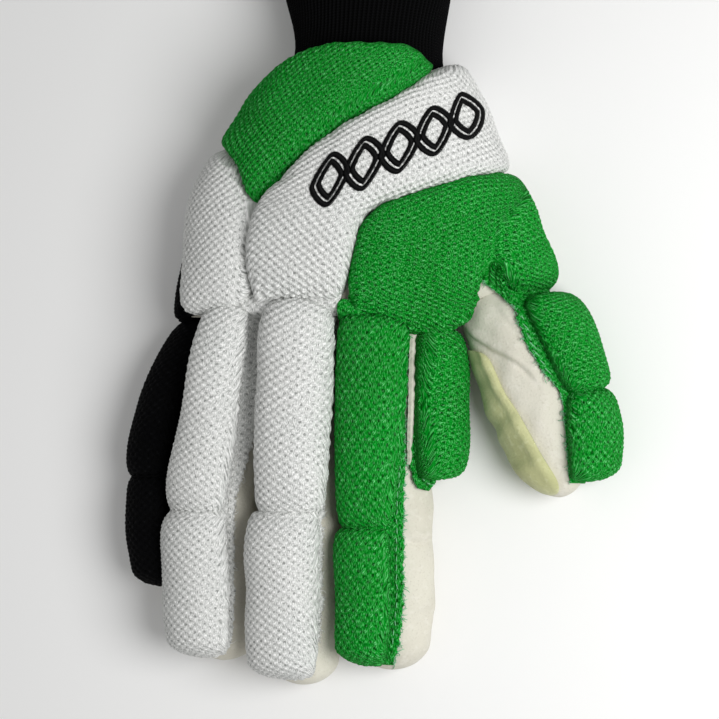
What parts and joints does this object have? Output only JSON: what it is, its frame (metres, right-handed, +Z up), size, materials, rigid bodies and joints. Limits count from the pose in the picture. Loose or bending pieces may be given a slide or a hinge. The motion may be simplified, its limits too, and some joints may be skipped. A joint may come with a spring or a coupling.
{
  "type": "roller hockey glove",
  "caption": "Right hand glove with hollow leather fingers, a knitted cuff and raised mesh covered pads over the back of the hand, the fingers and the thumb.",
  "frame": {"origin": "on the flat underside of the palm, under the middle of the hand", "axes": "+X towards the thumb side, +Y towards the wrist, +Z up out of the back of the hand"},
  "size_m": [0.1693, 0.2679, 0.0493],
  "materials": {
    "suede_leather": "napped suede",
    "thumb_patch": "smooth",
    "cuff_knit": "rib knit",
    "green_mesh": "shiny knitted mesh",
    "white_mesh": "knitted mesh",
    "black_mesh": "fine knitted mesh"
  },
  "bodies": {
    "root": {"palm_shell": "suede_leather", "index_stall": "suede_leather", "middle_stall": "suede_leather", "ring_stall": "suede_leather", "little_stall": "suede_leather", "thumb_stall": "suede_leather", "thumb_palm_patch": "thumb_patch", "wrist_cuff": "cuff_knit", "wrist_pad": "green_mesh", "back_band_pad": "white_mesh", "ring_knuckle_pad": "white_mesh", "little_knuckle_pad": "black_mesh", "index_thumb_pad": "green_mesh", "index_finger_pad": "green_mesh", "index_tip_pad": "green_mesh", "index_side_pad": "green_mesh", "middle_finger_pad": "white_mesh", "middle_tip_pad": "white_mesh", "ring_finger_pad": "white_mesh", "ring_tip_pad": "white_mesh", "little_finger_pad": "black_mesh", "little_tip_pad": "black_mesh", "thumb_pad": "green_mesh", "thumb_tip_pad": "green_mesh"}
  },
  "joints": []
}
